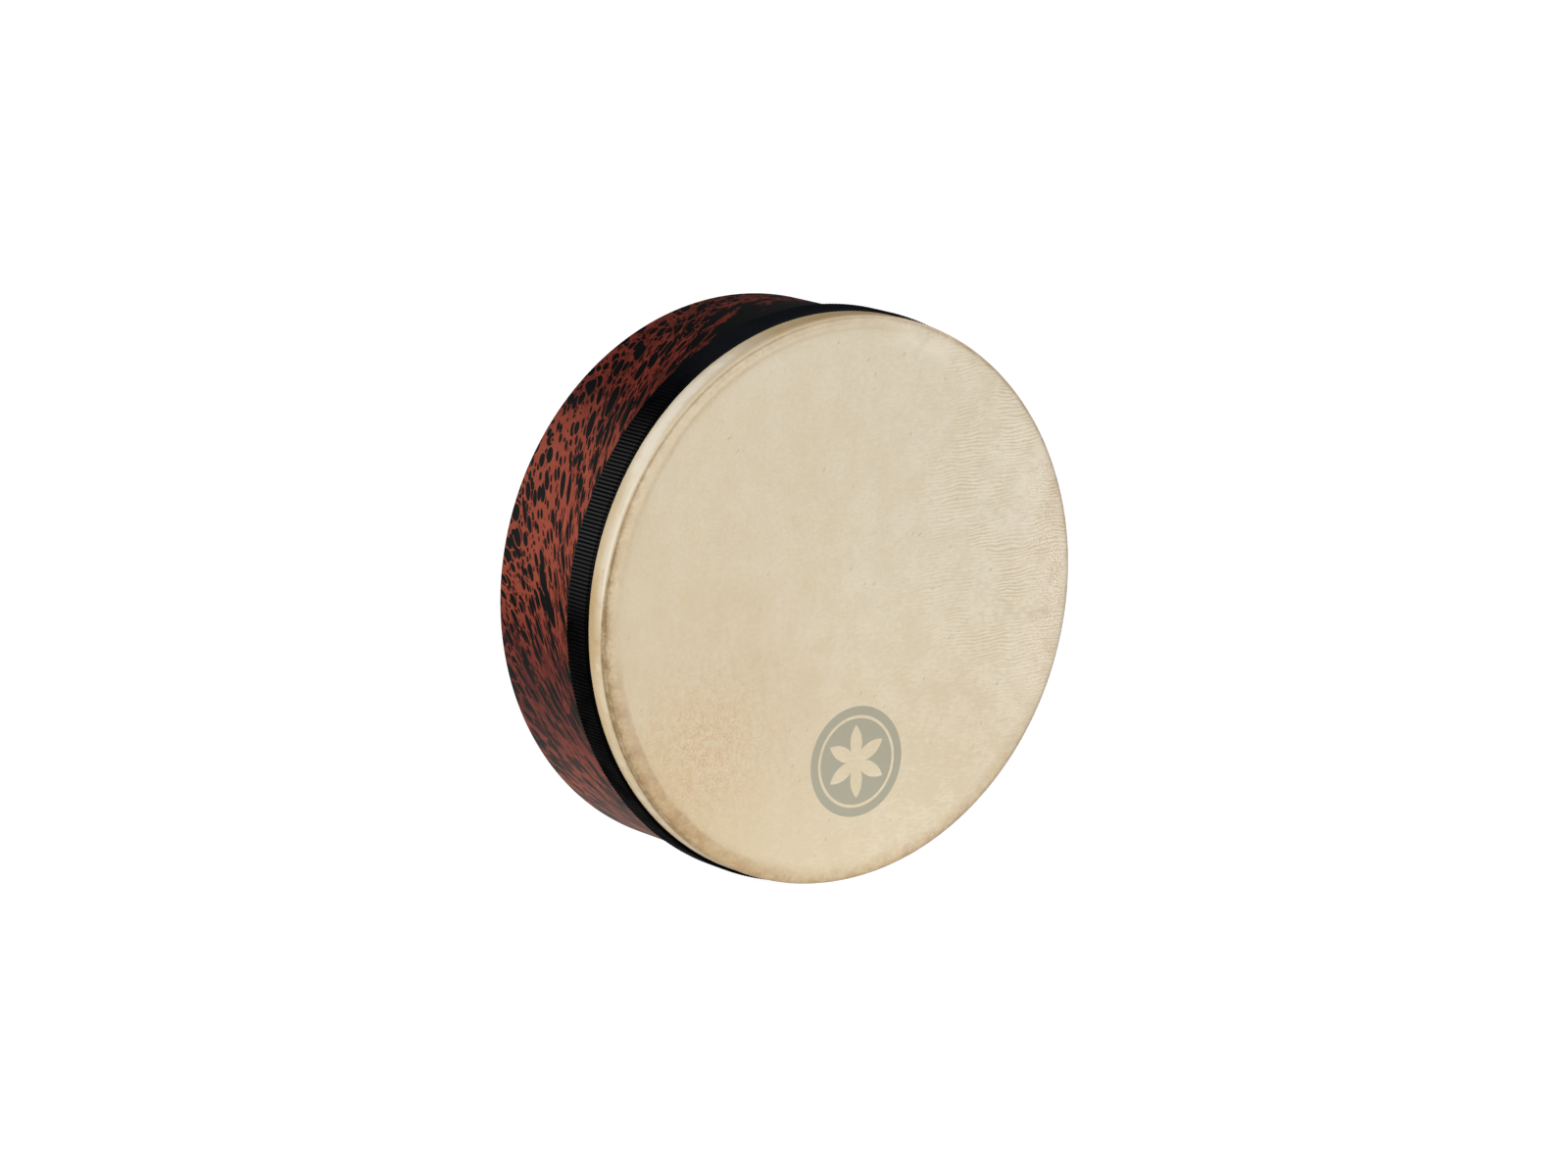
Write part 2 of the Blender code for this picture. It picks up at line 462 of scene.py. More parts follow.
def stitch(first, first_count, second, second_count):
    """Faces between two rings of vertices, whose counts are equal or differ by a factor of two."""
    if first_count == second_count:
        ahead = [(k + 1) % first_count for k in range(first_count)]
        return [(first + k, first + a, second + a, second + k) for k, a in enumerate(ahead)]
    if first_count > second_count:
        return [face[::-1] for face in stitch(second, second_count, first, first_count)]
    faces = []
    for k in range(first_count):
        a = (k + 1) % first_count
        low, middle, high = second + 2 * k, second + 2 * k + 1, second + 2 * a
        faces += [(first + k, middle, low), (first + k, first + a, middle), (first + a, high, middle)]
    return faces


def fan(tip, ring, count):
    """Triangles between a single vertex and a ring of them."""
    return [(tip, ring + (k + 1) % count, ring + k) for k in range(count)]


def build_skin(material):
    """The skin as one closed sheet: its outside with the creases over the shoulder, and its flesh side."""
    rings = [placed(0, HEAD_TOP, np.zeros(1))]
    for radius, height, out, up, along, columns in skin_rows():
        angle = np.arange(columns) * TURN / columns
        stands = relief(along, angle)
        rings.append(placed(radius + out * stands, height + up * stands, angle))
    for radius, height, columns in lining_rows():
        rings.append(placed(radius, height, np.arange(columns) * TURN / columns))
    rings.append(placed(0, HEAD_TOP - SKIN_THICKNESS, np.zeros(1)))
    counts = [len(ring) for ring in rings]
    starts = [sum(counts[:index]) for index in range(len(rings))]
    faces = []
    for index in range(1, len(rings) - 2):
        faces += stitch(starts[index], counts[index], starts[index + 1], counts[index + 1])
    faces += fan(starts[0], starts[1], counts[1])
    faces += [face[::-1] for face in fan(starts[-1], starts[-2], counts[-2])]
    obj = outward(mesh_object("goatskin_head", np.concatenate(rings), faces, material))
    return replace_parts(obj, "drum_head")


# ------------------------------------------------------------------ the ribbon

RIBS = 455
RIB_SAMPLES = 6
RIB_HEIGHT = 0.34
RIBBON_THICKNESS = 0.8
RIBBON_SEAT = 0.3
RIBBON_START = math.radians(330)
RIBBON_LAP = math.radians(7)
RIBBON_RAMP = math.radians(5)
LAP_CLEARANCE = 0.3
RIBBON_SHARP_ANGLE = math.radians(75)

# The ribbon's section: shares of its width, and how thick it is there. Its rounded edges are the selvages.
RIBBON_SECTION = [
    (0.0, 0.25), (0.015, 0.72), (0.05, 0.95), (0.12, 1.0), (0.25, 0.94), (0.4, 0.96),
    (0.55, 1.0), (0.7, 0.96), (0.85, 0.94), (0.93, 1.0), (0.975, 0.75), (1.0, 0.25),
]


def ribbon_climb(turned):
    """How far the ribbon stands off the skin: it climbs onto its own starting end."""
    left = TURN - turned
    share = np.clip(1 - (left - RIBBON_RAMP / 5) / RIBBON_RAMP, 0, 1)
    return (RIBBON_THICKNESS + LAP_CLEARANCE) * share * share * (3 - 2 * share)


def build_ribbon(material):
    """A woven strip with a rib for each weft cord, and its two selvages."""
    pitch = TURN / RIBS
    columns = round((TURN + RIBBON_LAP) / pitch) * RIB_SAMPLES
    base = RIBBON_THICKNESS - RIB_HEIGHT
    across, thickness = np.array(RIBBON_SECTION).T
    across_under = np.array([1.0, 0.4, 0.0])
    loops = []
    for column in range(columns + 1):
        turned = column * pitch / RIB_SAMPLES
        angle = RIBBON_START + turned
        skew = 0.10 * ripple(angle, 31, 21) * (across - 0.5)
        rib = np.abs(np.sin(math.pi * (turned / pitch + 0.5 + skew))) ** 0.75
        uneven = 1 + 0.10 * ripple(angle, 90, 22)
        outside = (base + RIB_HEIGHT * rib * uneven) * thickness
        scallop = 0.07 * rib.mean() - 0.05
        narrowed = 0.1 + 0.3 * side(angle, 235, 40)
        low = RIBBON_BACK - scallop + 0.14 * ripple(angle, 12, 23)
        high = RIBBON_FRONT + scallop + 0.14 * ripple(angle, 15, 24) - narrowed
        floor = RIBBON_RADIUS + ribbon_climb(turned)
        top = placed(floor + outside, low + (high - low) * across, angle)
        under = placed(floor - RIBBON_SEAT, low + (high - low) * across_under, angle)
        loops.append(np.concatenate([top, under]))
    obj = swept("ribbed_ribbon", loops, False, material)
    obj.data.set_sharp_from_angle(angle=RIBBON_SHARP_ANGLE)
    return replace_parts(obj, "trim_ribbon")


# ------------------------------------------------------------------ materials

CREAM = srgb(220, 209, 187)
PALE = srgb(232, 223, 205)
CHALK = srgb(240, 229, 209)
TAN = srgb(211, 194, 161)
HONEY = srgb(214, 187, 143)
RUST = srgb(200, 166, 126)
OCHRE = srgb(188, 158, 108)
UMBER = srgb(128, 102, 62)
DUN = srgb(152, 112, 84)
INK = srgb(168, 164, 145)

WAVELET_PITCH = 1.35
HAIR_DIRECTION = (0.64, 0.77)

# The print: a disc with a ring and the petals left open in it. A petal is the overlap of two circles.
PRINT_CENTRE = (4.4, -58.9)
PRINT_RADIUS = 20.3
PRINT_RING_RADIUS = 16.4
PRINT_RING_HALF = 0.55
PETAL_LENGTH = 13.5
PETAL_BOW = 10.0
PRINT_BLUR = 0.08


def toward(material, degrees, half_width):
    """1 on the side of the drum at this angle, falling to 0 at the half width."""
    lean = (material.angle - math.radians(degrees)).math("COSINE")
    return step(lean, math.cos(math.radians(half_width)), 1)


def spot(material, x, z, reach):
    """1 at a place on the head, falling to 0 at the reach."""
    across, up = material.x - x, material.z - z
    return step((across * across + up * up).math("SQRT"), reach, 0)


def printed_mark(material):
    """A round print on the skin with a six-petalled rosette left open in it: 1 where there is ink."""
    across, up = material.x - PRINT_CENTRE[0], material.z - PRINT_CENTRE[1]
    away = (across * across + up * up).math("SQRT")
    sixth = math.radians(60)
    folded = (up.math("ARCTAN2", across) + 2 * TURN).math("MODULO", sixth) - sixth / 2
    along, beside = away * folded.math("COSINE"), (away * folded.math("SINE")).math("ABSOLUTE")
    lean = along - PETAL_LENGTH / 2
    reach = beside + math.sqrt(PETAL_BOW ** 2 - PETAL_LENGTH ** 2 / 4)
    from_bow = (lean * lean + reach * reach).math("SQRT")
    petal = step(from_bow, PETAL_BOW + PRINT_BLUR, PETAL_BOW - PRINT_BLUR)
    from_ring = (away - PRINT_RING_RADIUS).math("ABSOLUTE")
    ring = step(from_ring, PRINT_RING_HALF + PRINT_BLUR, PRINT_RING_HALF - PRINT_BLUR)
    disc = step(away, PRINT_RADIUS + PRINT_BLUR, PRINT_RADIUS - PRINT_BLUR)
    on_face = step(material.height, HEAD_TOP - 0.5, HEAD_TOP - 0.3)
    return disc * (1 - petal) * (1 - ring) * on_face


class Skin(Material):
    """Goatskin, with a point's place on the skin and the noises that its layers of colour share.

    along is as for the relief, past_crease is measured from the crease, and frayed is along with a
    wavering edge. flow_x and flow_z are the point's x and z in the skin's own uneven stretch."""

    def __init__(self):
        super().__init__("goatskin")
        up, out = self.height - ROUND_HEIGHT, self.radius - ROUND_RADIUS
        over = up.math("MAXIMUM", 0).math("ARCTAN2", out.math("MAXIMUM", 0.001)) * ROUNDING
        self.along = up.math("MINIMUM", 0) + over + (out * -1).math("MAXIMUM", 0)
        self.past_crease = self.along - CREASE_LOW - toward(self, *CREASE_SIDE) * CREASE_RISE
        waver = (noise(self.point, 9, 3) - 0.5) * 2.0 + (noise(self.point, 2.2, 2) - 0.5) * 0.9
        self.frayed = self.along + waver
        self.flow_x, _, self.flow_z = parts_of(shaken(self.point, 16, 2.4, 1))
        self.right = step(self.x, -60, 60)
        self.left, self.low_left = toward(self, 192, 60), toward(self, 208, 46)
        self.broad, self.cloud = noise(self.point, 48, 3, 0.55), noise(self.point, 12, 4, 0.6)
        self.grit, self.speck = noise(self.point, 2.2, 4, 0.75), noise(self.point, 0.8, 2, 0.6)


def skin_ground(m):
    """Clouds of tone down to a grain, palest at the upper right and tanned towards the bottom."""
    tone = m.broad * 0.22 + m.cloud * 0.18 + m.grit * 0.30 + m.speck * 0.30
    color = mix(step(tone, 0.34, 0.66), TAN, CREAM)
    color = mix(m.right * 0.22, color, PALE)
    color = mix(step(m.z, 0, -95) * 0.60, color, TAN)
    return mix(step(m.z, 10, 100) * 0.16, color, PALE)


def felted(m, color):
    """Whitish felt: grains that gather into clouds, most on the right, with a bleached edge there."""
    wool = noise(vector(m.flow_x * 0.34, m.flow_z, 0.0), 1.15, 3, 0.7)
    felt = step(noise(m.point, 11, 5, 0.7) * 0.48 + wool * 0.52 + m.right * 0.02, 0.47, 0.60)
    amount = m.right * 0.26 + toward(m, 8, 52) * step(m.radius, 40, 88) * 0.30 + 0.05
    color = mix(felt * amount, color, CHALK)
    bleached = toward(m, 2, 42) * step(m.radius, 72, 97) + toward(m, 66, 15) * step(m.radius, 88, 98) * 0.8
    bleached = bleached * step(noise(m.point, 9, 3) * 0.7 + wool * 0.3, 0.34, 0.56)
    return mix(bleached * 0.9, color, CHALK)


def stained(m, color):
    """Warm stains low on the left, and a few small ones elsewhere."""
    grainy = step(noise(m.point, 3.2, 5, 0.8) * 0.6 + m.speck * 0.4, 0.40, 0.62)
    stain = spot(m, -58, -40, 74) * 0.62 + spot(m, -66, -48, 36) * 0.28 + spot(m, 50, -50, 40) * 0.2
    freckle = step(noise(m.point, 5, 5, 0.75), 0.58, 0.72)
    return mix((stain * (grainy * 0.85 + 0.06) + freckle * 0.20).math("MINIMUM", 1), color, RUST)


def hair_rows(m):
    """(crests, troughs) of the wavelets that the hair side shows, in rows across the right of the head."""
    sway = noise(vector(m.flow_x * 0.30, m.flow_z, 0.0), 2.4, 2) * 9
    wavelet = (m.flow_z * (TURN / WAVELET_PITCH) + sway).math("SINE")
    haired = step(noise(m.point, 15, 3), 0.34, 0.58) * step(m.x, 16, 70) * step(m.along, -1, 3)
    haired = haired * (toward(m, 20, 62) * 0.88 + 0.12)
    return step(wavelet, 0.0, 0.9) * haired, step(wavelet, -0.2, -0.9) * haired


def follicles(m):
    """Dots in rows where the skin is palest, by its right edge."""
    away, pick = cells(vector(m.flow_x * 0.85, m.flow_z, 0.0), 1.0, 0.55, "2D")
    dots = step(away, 0.40, 0.18) * (pick * 0.3 + 0.7)
    return dots * toward(m, 0, 36) * step(m.radius, 78, 95) * step(noise(m.point, 12, 2), 0.28, 0.50)


def short_hairs(m):
    """Short leftover hairs, here and there on the face, that all lie one way."""
    run, rise = HAIR_DIRECTION
    beside, lengthwise = m.x * rise - m.z * run, m.x * run + m.z * rise
    away, pick = cells(vector(beside, lengthwise * 0.20, 0.0), 3.0, 1.0, "2D")
    hairs = step(away, 0.08, 0.03) * step(pick, 0.72, 0.9)
    return hairs * step(noise(m.point, 26, 1), 0.42, 0.60) * step(m.along, 6, 9)


def shoulder(m, color):
    """Painted shade round the crease and over the shell's edge, most on the left, as far as a darker line
    where the flat face begins.
    """
    fine_mottle = step(noise(m.point, 1.5, 5, 0.8), 0.32, 0.68)
    cloudy = step(noise(m.point, 6, 4, 0.65), 0.34, 0.66)
    mottled = fine_mottle * 0.35 + cloudy * 0.5 + 0.55
    fade = step(m.past_crease, 7.0, -0.4)
    # Painted shade: the band past the crease and the crease itself are darkened, most on the left, where they
    # face away from the light; the mottling breaks it up.
    shade_by_side = m.left * 0.52 + m.low_left * 0.30 + toward(m, 130, 70) * 0.16 + 0.06
    band = step(m.past_crease + m.low_left * 2.0, -1.1, 0.2) * fade * fade * shade_by_side * mottled
    crease = bell(m.past_crease, -0.2, 0.9) * toward(m, 125, 66) * 0.36
    plateau = step(m.frayed, 8.2, 6.9) * step(m.frayed, 1.0, 3.5) * toward(m, 217, 40) * 0.34 * mottled
    # A darker ochre line where the flat face begins.
    flat_edge_line = bell(m.frayed, FLAT_EDGE_AT, 1.6) * toward(m, 140, 36) * 0.22 * mottled
    # Painted shade in the folds past the crease, over the top.
    folds = bell(m.past_crease, 1.7, 0.7) * 0.224 + bell(m.past_crease, 3.9, 1.0) * 0.192
    edging = step(m.radius, 94, 101.5) * step(m.along, -1, 1.5) * (toward(m, 268, 78) * 0.40 + 0.14)
    edging = edging + bell(m.along, 3.0, 2.2) * toward(m, 32, 54) * 0.6
    # Painted shade: the face darker towards its left edge.
    color = mix(m.left * step(m.radius, 70, 98) * 0.14, color, OCHRE)
    color = mix(plateau, color, DUN)
    color = mix((flat_edge_line + folds * toward(m, 104, 36)).math("MINIMUM", 0.9), color, OCHRE)
    color = mix((band + crease).math("MINIMUM", 0.92), color, UMBER)
    return mix(edging * mottled, color, mix(cloudy * 0.5, OCHRE, DUN))


def collar(m, on_collar, color):
    """Honey-coloured streaks along the drum's axis, with painted shade over the top, where the collar is
    pleated, and a brown spot on the left by the ribbon.
    """
    drawn = vector(m.x, m.height * 0.18, m.z)
    streak = noise(drawn, 1.6, 4, 0.7) * 0.25 + noise(drawn, 9, 3) * 0.45 + m.grit * 0.3
    # Painted shade over the top, which the light does not reach, and a brown spot by the ribbon on the left.
    top_shade_and_spot = toward(m, 86, 29) * 0.50 + toward(m, 177, 11) * step(m.along, -1.0, -6.0) * 0.6
    golden = step(streak, 0.38, 0.62) * 0.5 + 0.22 + top_shade_and_spot + toward(m, 192, 34) * 0.20
    # Painted shade in the pleats over the top.
    pleat_shade = bell(m.frayed, -1.6, 0.6) + bell(m.frayed, -3.4, 0.7) * 0.8 + bell(m.frayed, -5.0, 0.6) * 0.6
    color = mix(on_collar * golden.math("MINIMUM", 1), color, HONEY)
    color = mix(on_collar * top_shade_and_spot * 0.40, color, UMBER)
    return mix(pleat_shade * toward(m, 96, 28) * 0.46, color, UMBER)


def collar_wear(m, on_collar, color):
    """A painted highlight in patches over the collar, a painted highlight on the lip by the crease, tanned
    spots, and ochre by the ribbon.
    """
    patchy = step(noise(vector(m.x, m.height * 0.4, m.z), 5, 4, 0.65), 0.36, 0.62)
    # Painted highlight where the collar faces the light, broken into patches.
    painted_highlight = bell(m.along, -4.2, 5.4) * toward(m, 131, 22) * (patchy * 0.60 + 0.85)
    painted_highlight = painted_highlight + bell(m.along, -3.0, 3.6) * toward(m, 192, 14) * patchy * 0.45
    painted_highlight = painted_highlight + bell(m.along, -4.8, 4.0) * toward(m, 220, 22) * (patchy * 0.4 + 0.3)
    painted_highlight = painted_highlight + bell(m.past_crease, -3.0, 4.0) * toward(m, 157, 25) * 0.6
    # Painted highlight along the lip by the crease.
    lip_highlight = bell(m.past_crease, -1.9, 1.0) * toward(m, 160, 22) * 0.75
    tanned = step(noise(m.point, 4, 4, 0.7), 0.50, 0.68) * toward(m, 195, 62)
    near_ribbon = step(m.along, -5.0, RIBBON_FRONT - ROUND_HEIGHT)
    color = mix((on_collar * painted_highlight + lip_highlight).math("MINIMUM", 0.95), color, CHALK)
    color = mix(on_collar * tanned * 0.40, color, OCHRE)
    return mix(near_ribbon * 0.16, color, OCHRE)


def on_flesh_side(m):
    """1 on the skin's inside, which is seen from the drum's back."""
    below_face = step(m.height, HEAD_TOP - 0.4, HEAD_TOP - 0.6)
    inside_wall = step(m.radius, SKIN_RADIUS - 0.4, SKIN_RADIUS - 0.7)
    return below_face * inside_wall * step(m.along, 4.4, 6)


def goatskin():
    """Goatskin in layers: the face and its hairs, the shoulder, the collar, the inside and the print."""
    m = Skin()
    color = stained(m, felted(m, skin_ground(m)))
    crests, troughs = hair_rows(m)
    dots = follicles(m)
    color = mix(crests * 0.55, color, CHALK)
    color = mix(troughs * 0.32, color, OCHRE)
    color = mix(dots * 0.75, color, RUST)
    color = mix(short_hairs(m) * 0.5, color, UMBER)
    on_collar = step(m.past_crease + m.low_left * 1.3, -0.5, -1.7)
    color = collar_wear(m, on_collar, collar(m, on_collar, shoulder(m, color)))
    fibre = noise(vector(m.x * 0.4, m.height, m.z), 1.1, 5, 0.7)
    flesh = mix(step(fibre * 0.5 + m.cloud * 0.25 + m.broad * 0.25, 0.36, 0.62), HONEY, PALE)
    flesh_side = on_flesh_side(m)
    color = mix(flesh_side, color, flesh)
    mark = printed_mark(m)
    color = mix(mark * (m.grit * 0.14 + 0.90).math("MINIMUM", 1), color, INK)
    texture = m.grit * 0.35 + m.speck * 0.35 + m.cloud * 0.1 - dots * 0.6 - troughs * 0.4
    return m.finish(
        Base_Color=color, Roughness=m.grit * 0.12 - mark * 0.06 + flesh_side * 0.2 + 0.56,
        Specular_IOR_Level=0.25, Normal=bump(texture + fibre * flesh_side * 0.8, 0.12, 0.5),
        Subsurface_Weight=0.12, Subsurface_Scale=0.002, Subsurface_Radius=(1.0, 0.6, 0.35),
    )


BRICK = srgb(126, 51, 39)
EMBER = srgb(164, 78, 56)
MAROON = srgb(86, 31, 25)
PITCH = srgb(7, 8, 8)


def outside_marks(point, size, least, more):
    """How far a place is outside the nearest mark, in millimetres. Each cell of this size holds one round
    mark, with its own radius as a share of the size."""
    away, pick = cells(point, size)
    return (away - least - pick * more) * size


def wrapped(angle, back):
    """A point on the shell's outside, at this angle and this far behind the ribbon, for its pattern."""
    return vector(angle.math("COSINE") * SHELL_RADIUS, angle.math("SINE") * SHELL_RADIUS, back)


def dragged(m, back, low_left):
    """The shell's outside, dragged round so that marks on it slant: little at the rear, and most at the
    ribbon and low on the left."""
    drag_front, drag_rear = 2.3, 0.45
    slowing = (drag_front - drag_rear) / (2 * (RIBBON_BACK - SHELL_REAR))
    twist = back * (low_left * 0.45 + drag_front) - back * back * slowing
    return wrapped(m.angle + twist / SHELL_RADIUS, back)


def drops(m, base, loose, low_left):
    """Large marks, and smaller ones that keep clear of them. Low on the left the small ones shrink."""
    crowd = step(noise(base, 22, 2, 0.6), 0.36, 0.66) * 0.08 + toward(m, 104, 34) * 0.05 - 0.01
    large = outside_marks(loose, 7.6, crowd - 0.11, 0.62)
    middling = outside_marks(loose, 5.0, crowd + low_left * 0.05 + 0.20, 0.33)
    small = outside_marks(loose, 2.9, crowd - low_left * 0.06 + 0.21, 0.27)
    tiny = outside_marks(loose, 1.6, crowd - low_left * 0.12 + 0.02, 0.28)
    bigger = large.math("MINIMUM", middling)
    black = step(large, 0.12, -0.12)
    black = black.math("MAXIMUM", step(middling, 0.10, -0.10) * step(large, 0.45, 0.65))
    black = black.math("MAXIMUM", step(small, 0.08, -0.08) * step(bigger, 0.35, 0.50))
    clear = step(bigger.math("MINIMUM", small), 0.12, 0.25)
    return black.math("MAXIMUM", step(tiny, 0.07, -0.07) * clear)


def strands(m, base, back):
    """Thin strands in a belt behind the ribbon, drawn out further round the drum."""
    belt = wrapped(m.angle + back * (4.2 / SHELL_RADIUS), back * 1.3)
    thin = step(outside_marks(belt, 3.6, 0.18, 0.30), 0.15, -0.15)
    return step(thin * step(noise(base, 24, 2), 0.44, 0.52) * bell(back, 11, 15), 0.3, 0.6)


def flooded(m, loose, back):
    """Where the black has run together: in patches, and over the top next to the ribbon."""
    run_together = toward(m, 88, 36) * step(back, 40, 5) * 0.325
    return step(noise(loose, 13, 4, 0.62) + run_together, 0.655, 0.675)


def lacquer():
    """Red-brown lacquer under black marks, round near the rear and drawn out at the ribbon. The red is
    painted lighter where light falls on it, on the left and low on the left.
    """
    m = Material("mottled_lacquer")
    back = RIBBON_BACK - m.height
    low_left = toward(m, 212, 50)
    base = dragged(m, back, low_left)
    loose = shaken(shaken(base, 30, 5, 1), 6, 0.4, 0)
    black = drops(m, base, loose, low_left).math("MAXIMUM", strands(m, base, back))
    black = black.math("MAXIMUM", flooded(m, loose, back))
    red = mix(step(noise(base, 14, 4, 0.6), 0.3, 0.7), MAROON, BRICK)
    # Painted light: the red lighter on the left and low on the left, where light falls.
    lit_sides = toward(m, 160, 30) * 0.7 + toward(m, 238, 34) * 0.7
    red = mix(step(noise(base, 5, 4, 0.6), 0.5, 0.75) * 0.3 + lit_sides, red, EMBER)
    orange_peel = noise(m.point, 2.5, 2) * 0.5 + noise(m.point, 12, 1)
    return m.finish(
        Base_Color=mix(black, red, PITCH), Roughness=noise(m.point, 6, 3) * 0.08 + 0.30,
        Specular_IOR_Level=0.20, Normal=bump(orange_peel, 0.03, 0.5),
    )


GRAIN_DARK = srgb(172, 128, 84)
GRAIN_LIGHT = srgb(220, 184, 136)
PORE = srgb(104, 70, 42)
END_GRAIN_DARK = srgb(136, 98, 62)
END_GRAIN_LIGHT = srgb(186, 148, 104)
CROSS_PLY = srgb(212, 176, 130)


def veneer():
    """Bare hardwood: grain round the drum on its faces, layered end grain on its rims."""
    m = Material("bare_veneer")
    grain_point = vector(m.x * 0.16, m.height * 1.2, m.z * 0.16)
    figure = noise(shaken(grain_point, 9, 2), 3.4, 5, 0.6)
    line = noise(grain_point, 0.55, 3, 0.6)
    tone = figure * 0.7 + line * 0.3
    color = mix(step(tone, 0.34, 0.66), GRAIN_DARK, GRAIN_LIGHT)
    pore_away, pore_pick = cells(vector(m.x * 0.22, m.height * 2.6, m.z * 0.22), 1.5)
    pores = step(pore_away, 0.2, 0.1) * step(pore_pick, 0.45, 0.6)
    color = mix(pores * 0.5, color, PORE)
    ply_thickness = (SHELL_RADIUS - BORE_RADIUS) / len(PLIES)
    every_other = ((SHELL_RADIUS - m.radius) / ply_thickness).math("FLOOR").math("MODULO", 2)
    end_grain = mix(step(noise(m.point, 0.5, 3, 0.7), 0.3, 0.7), END_GRAIN_DARK, END_GRAIN_LIGHT)
    rim = mix(every_other * 0.75, end_grain, CROSS_PLY)
    color = mix(step(m.height, SHELL_REAR + 0.6, SHELL_REAR + 0.1), color, rim)
    return m.finish(
        Base_Color=color, Roughness=line * 0.15 + 0.5, Specular_IOR_Level=0.4,
        Normal=bump(line * 0.5 + figure * 0.3 - pores * 0.6, 0.06, 0.6),
        Coat_Weight=0.12, Coat_Roughness=0.35,
    )


RIBBON_BLACK = srgb(2, 2, 3)
RIB_CREST = srgb(19, 20, 22)
# Faded black with a painted sheen, for the ribbon's top.
RIBBON_FADE_AND_SHEEN = srgb(22, 25, 29)
THREAD_PITCH = 0.42


def grosgrain():
    """Black ribbed weave: the ribs catch the light, with a painted highlight on the crests on the left side,
    and the top lighter with fading and a painted sheen.
    """
    m = Material("black_grosgrain")
    crest = ((m.angle - RIBBON_START) * (RIBS / 2) + TURN / 4).math("SINE").math("ABSOLUTE")
    crest = step(crest, 0.38, 0.96)
    thread = (m.height * (TURN / THREAD_PITCH)).math("SINE") * 0.5 + 0.5
    fuzz = noise(m.point, 0.5, 3, 0.7)
    worn = step(noise(m.point, 9, 3), 0.3, 0.7)
    # Painted highlight on the rib crests on the side where the light falls.
    painted_highlight = toward(m, 156, 23)
    front_selvage = step(m.height, RIBBON_FRONT - 1.6, RIBBON_FRONT - 0.6)
    crest = crest * (1 - front_selvage * 0.8)
    color = mix(crest * (worn * 0.25 + painted_highlight * 0.75), RIBBON_BLACK, RIB_CREST)
    # The top lighter: fading and a painted sheen.
    color = mix(toward(m, 100, 32) * 0.8, color, RIBBON_FADE_AND_SHEEN)
    shine = crest * (worn * 0.05 + painted_highlight * 0.8) + 0.01
    return m.finish(
        Base_Color=color, Roughness=0.5, Specular_IOR_Level=shine,
        Normal=bump(thread * 0.7 + fuzz * 0.5, 0.05, 0.7),
    )


# ------------------------------------------------------------------ the studio

VIEW_AZIMUTH = math.radians(-36.12)
VIEW_ELEVATION = math.radians(12.45)
VIEW_DISTANCE = 2.032
VIEW_LENS = 130.6
AIM_RIGHT, AIM_UP = 0.01547, -0.00318
FLOOR_REACH = 12.0
FLOOR_GAP = 0.0002
POOL_X = -90


def view_axes():
    """Unit vectors from the drum towards the camera, to the camera's right and up."""
    azimuth, elevation = VIEW_AZIMUTH, VIEW_ELEVATION
    flat = math.cos(elevation)
    back = Vector((math.sin(azimuth) * flat, -math.cos(azimuth) * flat, math.sin(elevation)))
    right = Vector((math.cos(azimuth), math.sin(azimuth), 0))
    return back, right, back.cross(right)


def place_camera():
    """The camera, which looks a little beside the middle of the ribbon's front edge."""
    back, right, up = view_axes()
    camera = bpy.data.objects.new("camera", bpy.data.cameras.new("camera"))
    camera.data.lens = VIEW_LENS
    camera.data.clip_end = 50
    ribbon_plane = Vector((0, -RIBBON_FRONT * MM, 0))
    camera.matrix_world = Matrix((right, up, back)).transposed().to_4x4()
    camera.location = ribbon_plane + back * VIEW_DISTANCE - right * AIM_RIGHT - up * AIM_UP
    bpy.context.scene.collection.objects.link(camera)
    bpy.context.scene.camera = camera


def softbox(name, toward_it, distance, size, power):
    """A square area light in this direction from the drum, facing it."""
    light = bpy.data.lights.new(name, "AREA")
    light.energy = power
    light.size = size
    lamp = bpy.data.objects.new(name, light)
    lamp.location = Vector(toward_it).normalized() * distance
    lamp.rotation_euler = Vector(toward_it).to_track_quat("Z", "Y").to_euler()
    lamp.visible_camera = False
    bpy.context.scene.collection.objects.link(lamp)


def seen_directly(tree):
    """1 for what the camera sees itself, 0 for light that reaches the drum."""
    return Field(tree.nodes.new("ShaderNodeLightPath").outputs["Is Camera Ray"])


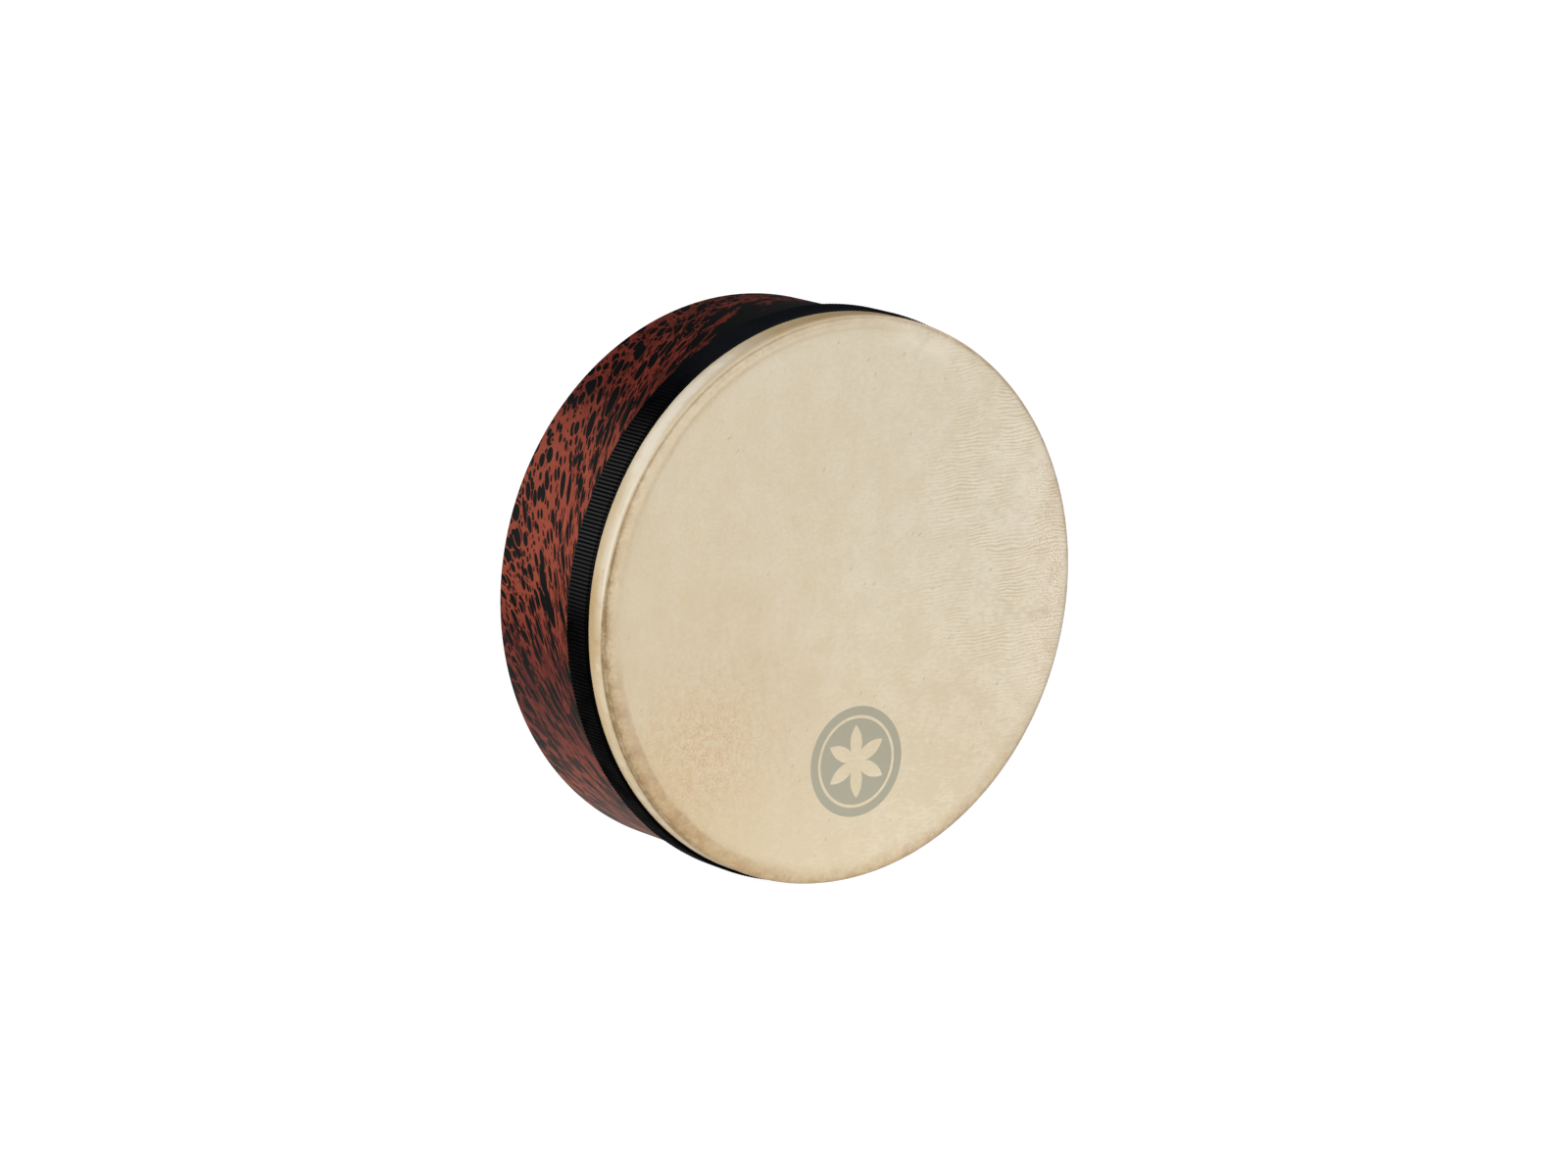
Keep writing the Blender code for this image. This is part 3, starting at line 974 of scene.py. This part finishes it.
def floor_material():
    """Matt and pale. A pool of it close by lights the drum from below, and shows less in reflections, so
    that the dark surfaces stay dark."""
    m = Material("pale_floor")
    rays = m.tree.nodes.new("ShaderNodeLightPath").outputs
    direct, glossy = Field(rays["Is Camera Ray"]), Field(rays["Is Glossy Ray"])
    shade = direct * 0.09 + 0.15 + noise(m.point, 400, 2) * 0.02
    color = add_node(m.tree, "ShaderNodeCombineColor", Red=shade, Green=shade, Blue=shade)
    across = m.x - POOL_X
    away = (across * across + m.height * m.height).math("SQRT")
    pool = step(away, 420, 100) * (0.61 - glossy * 0.37) + 0.05
    glow = step(away, 800, 3500) * 0.04 + 0.96
    return m.finish(
        Base_Color=Field(color.outputs[0]), Roughness=0.9, Specular_IOR_Level=0.0,
        Emission_Color=mix(glossy, (1, 1, 1), (1, 0.95, 0.87)),
        Emission_Strength=direct * glow + (1 - direct) * pool,
    )


def build_floor():
    """A wide flat floor just below the drum."""
    reach, level = FLOOR_REACH, min(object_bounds()[0][2], cad_bounds[0][2]) - FLOOR_GAP
    corners = [(-reach, -reach, level), (reach, -reach, level), (reach, reach, level), (-reach, reach, level)]
    mesh = bpy.data.meshes.new("floor")
    mesh.from_pydata(corners, [], [(0, 1, 2, 3)])
    mesh.materials.append(floor_material())
    floor = bpy.data.objects.new("floor", mesh)
    bpy.context.scene.collection.objects.link(floor)


def build_world():
    """White to the camera, and dim to everything else, so that the softboxes shape the light."""
    world = bpy.data.worlds.new("studio")
    world.use_nodes = True
    bpy.context.scene.world = world
    sky = world.node_tree.nodes["Background"]
    sky.inputs["Color"].default_value = (1, 1, 1, 1)
    feed(sky.inputs["Strength"], seen_directly(world.node_tree) * 0.95 + 0.05)


def build_studio():
    """The floor, the surroundings and three softboxes, seen with plain colours."""
    build_floor()
    build_world()
    softbox("main_softbox", (-0.70, -0.68, 0.37), distance=3.6, size=2.0, power=147)
    softbox("right_softbox", (0.95, -0.12, 0.35), distance=3.4, size=2.4, power=68)
    softbox("left_rear_softbox", (-0.58, 0.79, 0.20), distance=1.6, size=1.5, power=2.3)
    bpy.context.scene.view_settings.view_transform = "Standard"


# ------------------------------------------------------------------ build

bare = veneer()
finishes = [lacquer()] + [bare] * (len(PLIES) - 1)
for number, finish in enumerate(finishes):
    build_ply(number, finish)
build_skin(goatskin())
build_ribbon(grosgrain())
build_studio()
place_camera()
